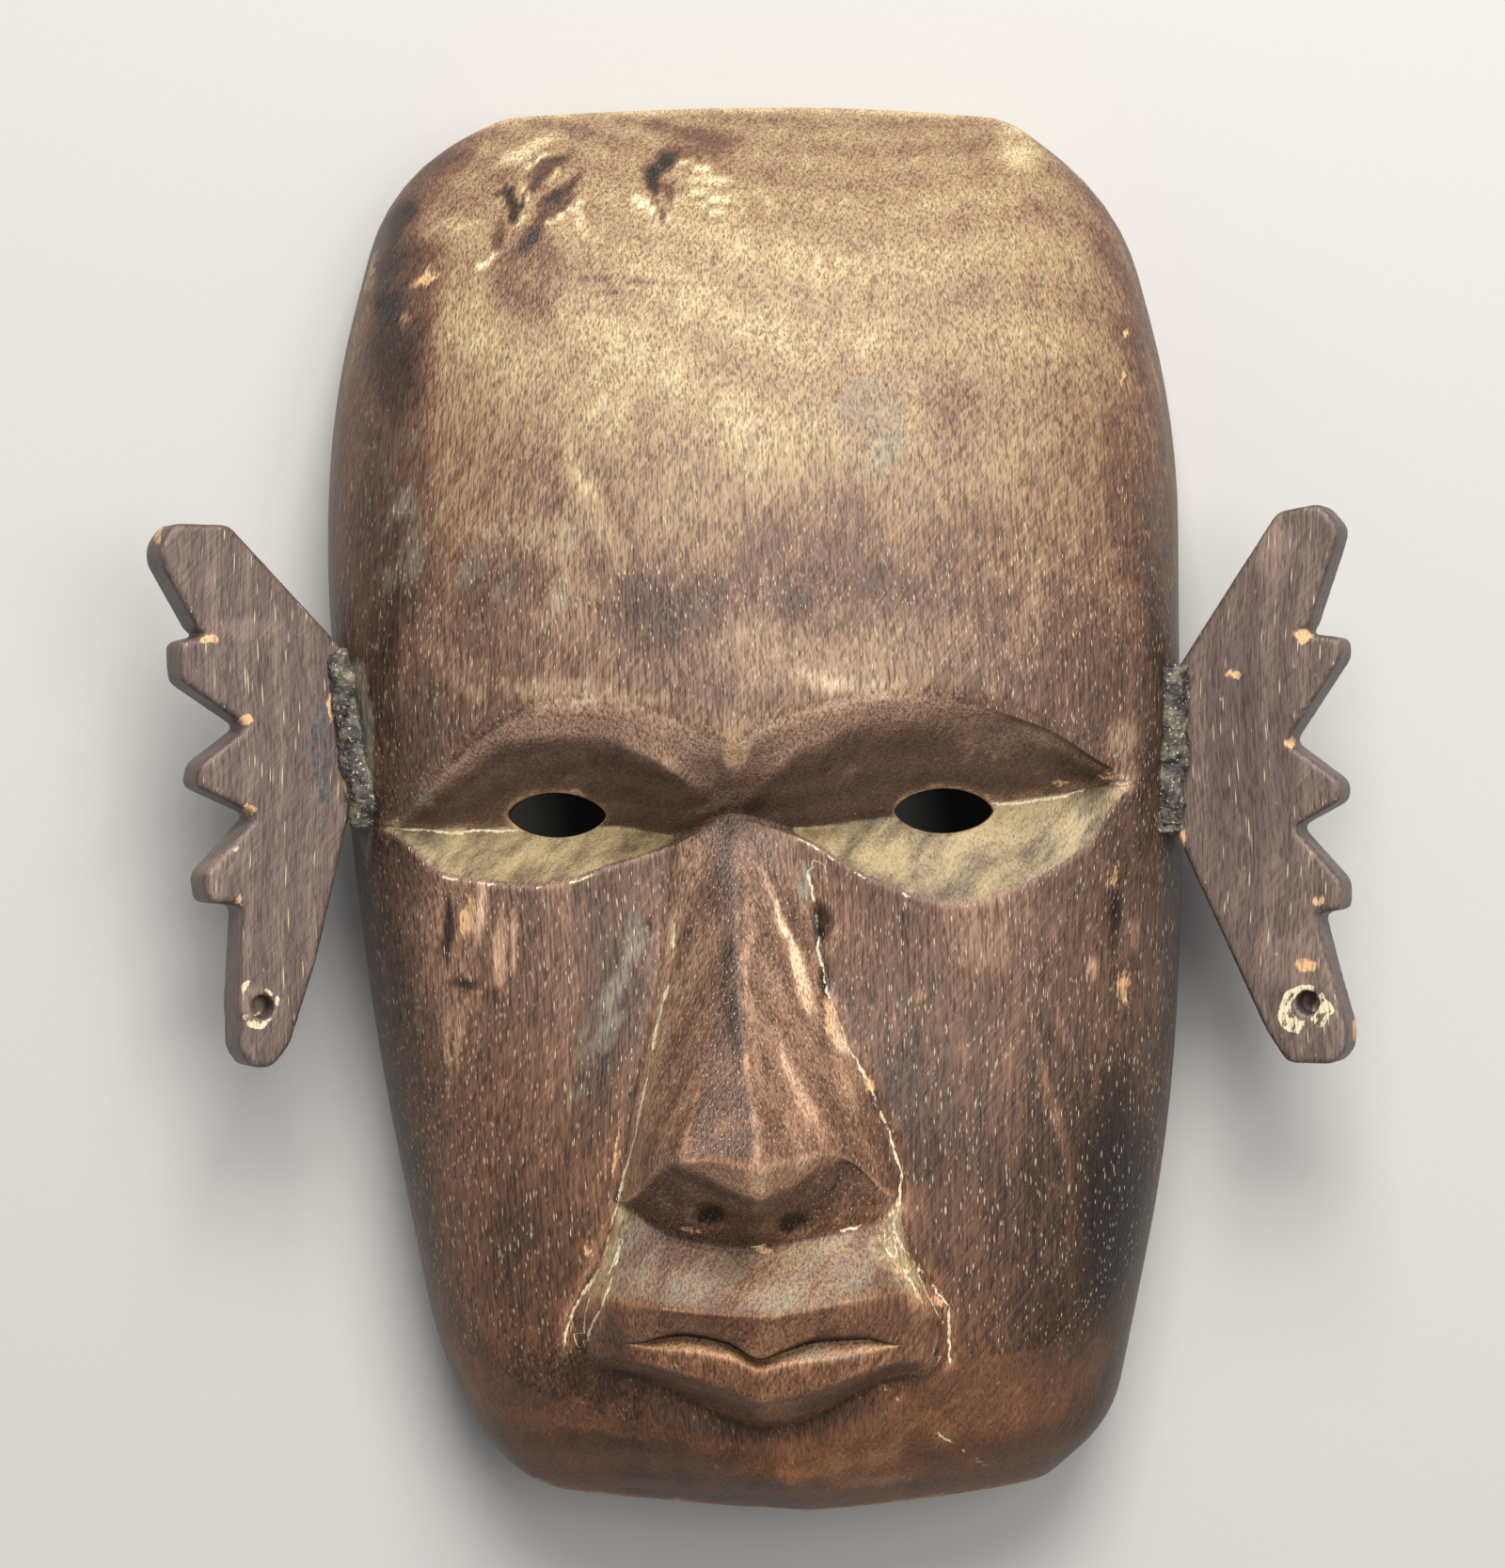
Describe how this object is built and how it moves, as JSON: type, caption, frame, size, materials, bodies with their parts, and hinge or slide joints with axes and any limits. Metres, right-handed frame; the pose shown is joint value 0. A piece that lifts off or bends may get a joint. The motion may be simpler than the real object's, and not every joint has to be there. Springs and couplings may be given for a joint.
{
  "type": "carved wooden face mask",
  "caption": "hollow carved wooden face mask with pierced eyes, an overhanging brow, a long faceted nose and flat notched ears like wings",
  "frame": {"origin": "middle of the bounding box in X and Y, on the plane of the back rim that the mask lies on", "axes": "+Z out of the face, +Y to the top of the forehead, +X to the right of someone looking at the face"},
  "size_m": [0.2095, 0.2469, 0.0793],
  "materials": {
    "stained_hardwood": "dark stain, rubbed and worn, satin",
    "stained_ear_board": "dark stain, matt",
    "black_resin": "old resin filler, matt to satin"
  },
  "bodies": {
    "root": {"face": "stained_hardwood", "ear_left": "stained_ear_board", "ear_right": "stained_ear_board", "joint_filler_left": "black_resin", "joint_filler_right": "black_resin"}
  },
  "joints": []
}
